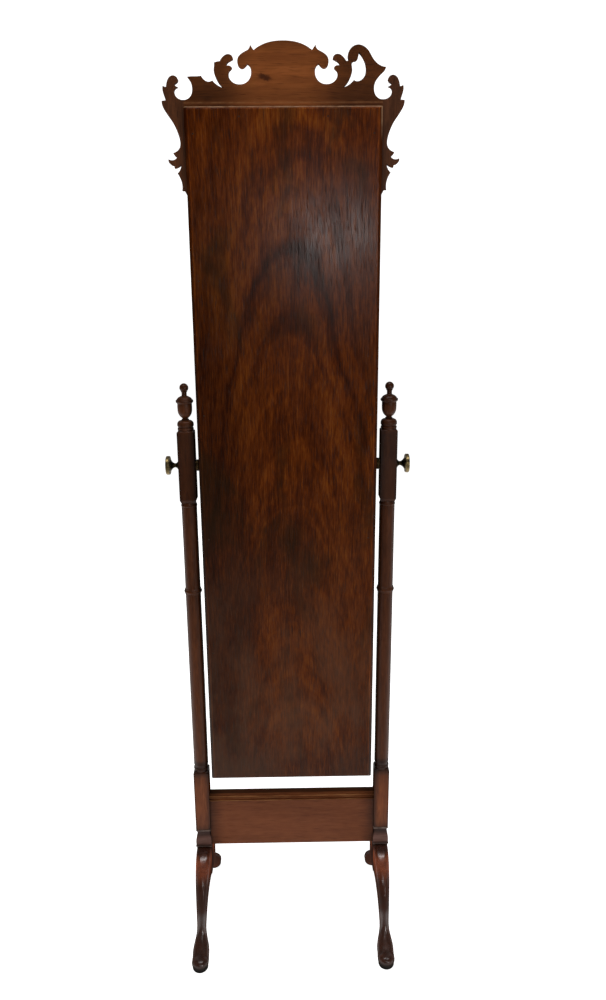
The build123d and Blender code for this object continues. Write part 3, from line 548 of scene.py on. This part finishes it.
def floor():
    """White to the eye everywhere; what it throws back at the object is bright under and before
    the glass and fades towards the board's side."""
    s = Shader("floor_paint")
    cloud = s.noise(s.coords, 1.3, 3.0)
    y = s.split(s.coords)[1]
    glow = s.times(s.spread(y, 0.25, 0.9, FLOOR_GLOW, 0.0), s.spread(y, -2.6, -0.9, 0.35, 1.0))
    seen = s.node("ShaderNodeLightPath").outputs["Is Camera Ray"]
    glow = s.math("MAXIMUM", glow, s.times(seen, FLOOR_GLOW))
    colour = s.mix(s.times(cloud, 0.3), (0.93, 0.93, 0.925), (0.88, 0.88, 0.875))
    mat = s.finish(Base_Color=colour, Roughness=0.9, Specular_IOR_Level=0.0,
                   Emission_Color=(1.0, 1.0, 0.995, 1.0), Emission_Strength=glow)
    bpy.ops.mesh.primitive_grid_add(x_subdivisions=2, y_subdivisions=2, size=FLOOR_SIZE)
    plane = bpy.context.object
    plane.name = "floor"
    plane.data.materials.append(mat)


def softbox(name, place, aim, size, power, mirrored=True, lighting=True):
    """Soft light; it can light the wood without showing in the polish, or only show there."""
    data = bpy.data.lights.new(name, "AREA")
    data.shape = "RECTANGLE"
    data.size, data.size_y = size
    data.energy = power
    lamp = bpy.data.objects.new(name, data)
    bpy.context.scene.collection.objects.link(lamp)
    lamp.location = place
    lamp.rotation_euler = (Vector(aim) - Vector(place)).to_track_quat("-Z", "Y").to_euler()
    lamp.visible_glossy = mirrored
    lamp.visible_diffuse = lighting


def surroundings():
    """White behind the object for the eye; for what is lit and reflected, a room that is pale
    on the glass's side and dim on the board's."""
    world = bpy.data.worlds.new("room")
    bpy.context.scene.world = world
    world.use_nodes = True
    tree = world.node_tree
    out = tree.nodes["World Output"]
    room = tree.nodes["Background"]
    way = tree.nodes.new("ShaderNodeTexCoord")
    parts = tree.nodes.new("ShaderNodeSeparateXYZ")
    fade = tree.nodes.new("ShaderNodeMapRange")
    fade.interpolation_type = "SMOOTHSTEP"
    fade.inputs["From Min"].default_value = -0.8
    fade.inputs["From Max"].default_value = -0.1
    fade.inputs["To Min"].default_value = ROOM_GLASS_SIDE
    fade.inputs["To Max"].default_value = ROOM_BOARD_SIDE
    tree.links.new(way.outputs["Generated"], parts.inputs[0])
    tree.links.new(parts.outputs["Y"], fade.inputs["Value"])
    tree.links.new(fade.outputs[0], room.inputs["Strength"])
    white = tree.nodes.new("ShaderNodeBackground")
    white.inputs["Strength"].default_value = SKY_SEEN
    path = tree.nodes.new("ShaderNodeLightPath")
    choose = tree.nodes.new("ShaderNodeMixShader")
    tree.links.new(path.outputs["Is Camera Ray"], choose.inputs[0])
    tree.links.new(room.outputs[0], choose.inputs[1])
    tree.links.new(white.outputs[0], choose.inputs[2])
    tree.links.new(choose.outputs[0], out.inputs["Surface"])


def camera():
    """Close in behind the board, at about three quarters of its height, looking a little down."""
    data = bpy.data.cameras.new("camera")
    data.lens = LENS
    data.sensor_width = SENSOR
    cam = bpy.data.objects.new("camera", data)
    bpy.context.scene.collection.objects.link(cam)
    cam.location = CAMERA_AT
    cam.rotation_euler = Euler([math.radians(a) for a in CAMERA_TURN])
    bpy.context.scene.camera = cam


floor()
softbox("front_soft", (-0.24, 2.7, 1.62), (0, 0, 1.3), (0.38, 0.20), 6.8)
softbox("left_wash", (2.4, 1.3, 1.5), (0, 0, 0.9), (0.9, 2.2), 15, mirrored=False)
softbox("right_wash", (-2.4, 1.3, 1.5), (0, 0, 0.9), (0.9, 2.2), 17, mirrored=False)
softbox("overhead", (0.0, 0.5, 3.3), (0, 0, 0.7), (0.9, 0.6), 22, mirrored=False)
softbox("high_glint", (0.0, 0.55, 3.2), (0, 0.1, 0.1), (2.4, 0.25), 24, lighting=False)
softbox("low_glint", (-1.5, 2.9, 0.85), (0, 0.1, 0.1), (0.50, 0.45), 15, lighting=False)
softbox("glass_side", (0.9, -2.8, 2.2), (0, 0, 0.8), (1.8, 1.8), 40, mirrored=False)
surroundings()
camera()
bpy.context.scene.view_settings.view_transform = "Standard"
